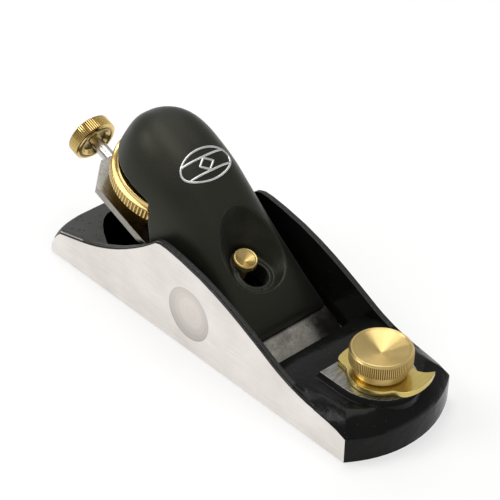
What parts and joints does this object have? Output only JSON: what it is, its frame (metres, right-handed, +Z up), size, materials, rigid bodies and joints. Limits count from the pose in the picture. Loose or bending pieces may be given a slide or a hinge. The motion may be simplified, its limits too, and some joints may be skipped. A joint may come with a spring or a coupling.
{
  "type": "block plane",
  "caption": "Adjustable metal block plane with a bevel-up iron, lever cap with spin wheel, screw depth and lateral adjuster, sliding toe plate, eccentric mouth lever and brass knobs.",
  "frame": {"origin": "middle of the body casting's length and width, on the sole plane", "axes": "+X towards the toe, +Y to the right-hand cheek's opposite side across the sole, +Z up away from the sole"},
  "size_m": [0.1752, 0.05, 0.0679],
  "materials": {
    "body_iron": "gloss black paint inside and on the rims, cheeks and sole ground bright",
    "bare_iron": "ground bare iron",
    "cap_paint": "satin black powder coat",
    "brass": "polished and knurled",
    "steel": "turned",
    "blade_steel": "polished flat",
    "badge_silver": "bright raised lines"
  },
  "bodies": {
    "body": {"body_casting": "body_iron", "eccentric_pin": "steel", "lever_cap_screw": "brass"},
    "toe": {"toe_plate": "bare_iron", "toe_stud": "steel"},
    "lever": {"mouth_lever": "brass"},
    "knob": {"front_knob": "brass"},
    "post": {"adjuster_post": "steel"},
    "iron": {"blade": "blade_steel", "blade_carrier": "steel"},
    "adjuster": {"adjuster_shaft": "steel", "adjuster_knob": "brass", "carrier_ring_front": "steel", "carrier_ring_rear": "steel"},
    "cap": {"lever_cap": "cap_paint", "cap_badge": "badge_silver"},
    "foot": {"cap_foot": "steel"},
    "wheel": {"cap_wheel": "brass", "cap_wheel_screw": "steel"}
  },
  "joints": [
    {"name": "toe_slide", "type": "slide", "parent": "body", "child": "toe", "axis": [1, 0, 0], "range_m": [-0.0012, 0.0012]},
    {"name": "mouth_lever_swing", "type": "hinge", "parent": "toe", "child": "lever", "pos_m": [0.0651, 0, 0.019], "axis": [0, 0, 1], "range_deg": [-12.1, 12.1]},
    {"name": "front_knob_spin", "type": "hinge", "parent": "toe", "child": "knob", "pos_m": [0.0651, 0, 0.025], "axis": [0, 0, 1], "range_deg": [0, 360]},
    {"name": "lateral_adjust", "type": "hinge", "parent": "body", "child": "post", "pos_m": [-0.0281, 0, 0.01516], "axis": [0.3584, 0, 0.9336], "range_deg": [-1, 1]},
    {"name": "depth_slide", "type": "slide", "parent": "post", "child": "iron", "axis": [0.9336, 0, -0.3584], "range_m": [-0.001, 0.0058]},
    {"name": "adjuster_spin", "type": "hinge", "parent": "iron", "child": "adjuster", "pos_m": [-0.08421, 0, 0.0367], "axis": [0.9336, 0, -0.3584], "range_deg": [-451, 2611.5]},
    {"name": "cap_slide", "type": "slide", "parent": "body", "child": "cap", "axis": [-0.9336, 0, 0.3584], "range_m": [0, 0.006]},
    {"name": "clamp_travel", "type": "slide", "parent": "cap", "child": "foot", "axis": [0.3584, 0, 0.9336], "range_m": [0, 0.001]},
    {"name": "cap_wheel_spin", "type": "hinge", "parent": "foot", "child": "wheel", "pos_m": [-0.04191, 0, 0.04338], "axis": [0.3584, 0, 0.9336], "range_deg": [-1, 361]}
  ],
  "couplings": [
    {"joint": "mouth_lever_swing", "follows": "toe_slide", "rad_per_m": 174.53},
    {"joint": "adjuster_spin", "follows": "depth_slide", "rad_per_m": 7854},
    {"joint": "cap_wheel_spin", "follows": "clamp_travel", "rad_per_m": 6283.2}
  ]
}
